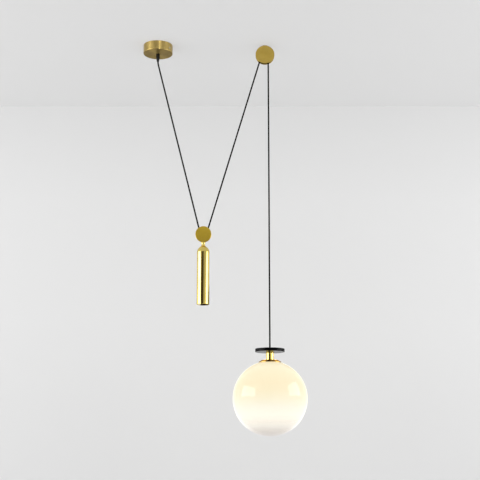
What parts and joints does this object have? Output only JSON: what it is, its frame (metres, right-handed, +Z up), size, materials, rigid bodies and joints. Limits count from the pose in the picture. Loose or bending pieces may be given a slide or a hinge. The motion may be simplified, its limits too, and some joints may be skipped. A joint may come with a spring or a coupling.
{
  "type": "rise and fall pendant light",
  "caption": "Pendant globe light on a textile cord that runs over a ceiling pulley and under a sliding counterweight, so the lamp can be raised and lowered by hand.",
  "frame": {"origin": "centre of the canopy on the ceiling plane", "axes": "+Z up to the ceiling, +X from the canopy towards the ceiling pulley and the lamp, +Y away from the viewer; every cord run lies in the plane Y = 0"},
  "size_m": [0.6973, 0.305, 1.6815],
  "materials": {
    "satin_brass": "satin, fine brushed, lacquered",
    "polished_brass": "mirror polished, lacquered",
    "plated_steel": "zinc plated",
    "white_nylon": "moulded",
    "core_insulation": "extruded",
    "black_nylon": "moulded, satin",
    "woven_cord": "braided textile sleeve",
    "washer_nylon": "moulded",
    "wheel_acetal": "turned",
    "bush_bronze": "sintered",
    "ballast_steel": "turned",
    "black_gloss_aluminium": "black gloss enamel",
    "clear_rubber": "moulded",
    "opal_glass": "blown, white fading to clear at the bottom",
    "holder_phenolic": "moulded",
    "holder_insert": "moulded",
    "bulb_tip_metal": "plated",
    "bulb_base_metal": "rolled thread",
    "bulb_opal": "opal, lit"
  },
  "bodies": {
    "ceiling": {"mounting_plate": "plated_steel", "canopy_cup": "satin_brass", "canopy_side_screws": "satin_brass", "earth_screw": "plated_steel", "terminal_block": "white_nylon", "canopy_cores": "core_insulation", "cord_grip": "black_nylon", "cord_grip_stem": "plated_steel", "cord_grip_nut": "plated_steel", "canopy_cord_tail": "woven_cord", "left_cord_run": "woven_cord", "right_cord_run": "woven_cord", "ceiling_cord_wrap": "woven_cord", "drop_cord": "woven_cord", "ceiling_cheek_front": "satin_brass", "ceiling_cheek_rear": "satin_brass", "ceiling_axle": "plated_steel", "ceiling_washers": "washer_nylon", "hanger_screws": "plated_steel", "hanger_block": "satin_brass"},
    "ceiling_wheel": {"ceiling_wheel": "wheel_acetal", "ceiling_wheel_bush": "bush_bronze"},
    "counterweight": {"counterweight_cheek_front": "satin_brass", "counterweight_cheek_rear": "satin_brass", "counterweight_axle": "plated_steel", "counterweight_washers": "washer_nylon", "counterweight_stem_screws": "plated_steel", "counterweight_stem": "satin_brass", "counterweight_casing": "polished_brass", "counterweight_ballast": "ballast_steel", "counterweight_bottom_plug": "polished_brass", "counterweight_cord_wrap": "woven_cord"},
    "counterweight_wheel": {"counterweight_wheel": "wheel_acetal", "counterweight_wheel_bush": "bush_bronze"},
    "lamp": {"lamp_disc": "black_gloss_aluminium", "lamp_cord_bush": "black_nylon", "lamp_cord_tail": "woven_cord", "lamp_nipple": "plated_steel", "lamp_top_nut": "plated_steel", "lamp_neck": "polished_brass", "globe_cap": "polished_brass", "globe_gasket": "clear_rubber", "glass_globe": "opal_glass", "globe_clamp_bar": "plated_steel", "globe_clamp_pads": "clear_rubber", "globe_clamp_nut": "plated_steel", "lampholder_dome": "holder_phenolic", "lampholder_body": "holder_phenolic", "lampholder_insert": "holder_insert", "lampholder_screw_shell": "polished_brass", "lampholder_contact": "polished_brass", "bulb_tip": "bulb_tip_metal", "bulb_base": "bulb_base_metal", "bulb_envelope": "bulb_opal"}
  },
  "joints": [
    {"name": "lamp_rise", "type": "slide", "parent": "ceiling", "child": "lamp", "axis": [0, 0, 1], "range_m": [-0.4, 0.5], "deforming": ["drop_cord"]},
    {"name": "counterweight_travel", "type": "slide", "parent": "ceiling", "child": "counterweight", "axis": [0, 0, 1], "range_m": [-0.262, 0.21], "deforming": ["left_cord_run", "right_cord_run"]},
    {"name": "ceiling_wheel_spin", "type": "hinge", "parent": "ceiling", "child": "ceiling_wheel", "pos_m": [0.4673, 0, -0.043], "axis": [0, 1, 0], "continuous": true},
    {"name": "counterweight_wheel_spin", "type": "hinge", "parent": "counterweight", "child": "counterweight_wheel", "pos_m": [0.204, 0, -0.844], "axis": [0, 1, 0], "continuous": true}
  ],
  "couplings": [
    {"joint": "counterweight_travel", "follows": "lamp_rise", "ratio": -0.522},
    {"joint": "ceiling_wheel_spin", "follows": "lamp_rise", "rad_per_m": -71.429},
    {"joint": "counterweight_wheel_spin", "follows": "lamp_rise", "rad_per_m": 41.667}
  ]
}
